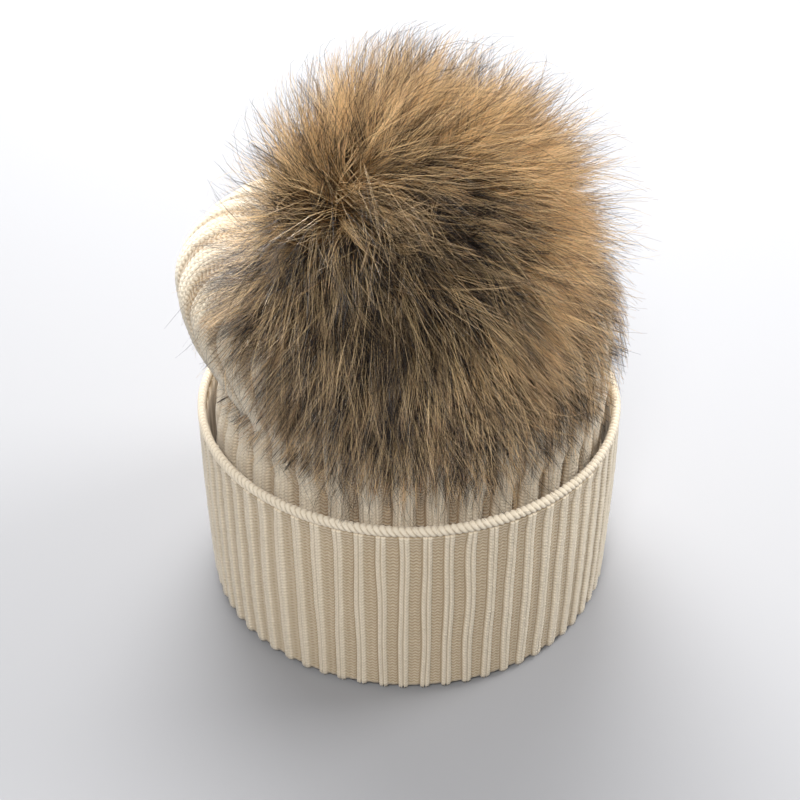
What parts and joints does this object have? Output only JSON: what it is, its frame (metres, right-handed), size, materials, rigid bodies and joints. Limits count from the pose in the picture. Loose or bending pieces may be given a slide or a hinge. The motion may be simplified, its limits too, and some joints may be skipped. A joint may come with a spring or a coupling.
{
  "type": "pom pom beanie",
  "caption": "Ribbed knit winter hat with a turned-up cuff and a large fur pom held on by a press stud.",
  "frame": {"origin": "middle of the head opening, in the plane of the rim that the hat stands on", "axes": "+Z from the head opening up to the top of the pom; -Y the back of the hat, which the pom leans towards; -X the side that the crown slumps to"},
  "size_m": [0.1797, 0.2113, 0.2335],
  "materials": {
    "cuff_knit": "matte",
    "crown_knit": "matte",
    "felt": "matte",
    "snap_metal": "polished",
    "spring_wire": "satin",
    "thread": "satin",
    "label_satin": "satin",
    "pelt_backing": "matte",
    "fibrefill": "matte",
    "underfur": "satin",
    "guard_hair": "satin"
  },
  "bodies": {
    "hat": {"turn_up_cuff": "cuff_knit", "cuff_edge_welt": "cuff_knit", "crown_linking_seam": "cuff_knit", "knit_crown": "crown_knit", "crown_gather_thread": "crown_knit", "crown_patch": "felt", "snap_stud": "snap_metal", "stud_stitches": "thread", "care_label": "label_satin", "label_stitches": "thread"},
    "snap_ring": {"snap_spring_ring": "spring_wire"},
    "pom": {"snap_socket": "snap_metal", "socket_stitches": "thread", "pom_backing_disc": "felt", "pom_pelt": "pelt_backing", "pom_stuffing": "fibrefill", "pom_gather_cord": "thread", "pom_underfur": "underfur", "pom_guard_hair": "guard_hair"}
  },
  "joints": [
    {"name": "pom_pull_off", "type": "slide", "parent": "hat", "child": "snap_ring", "axis": [0, -0.342, 0.9397], "range_m": [0, 0.045]},
    {"name": "pom_swivel", "type": "hinge", "parent": "snap_ring", "child": "pom", "pos_m": [0.006, -0.022, 0.124], "axis": [0, -0.342, 0.9397], "continuous": true}
  ]
}
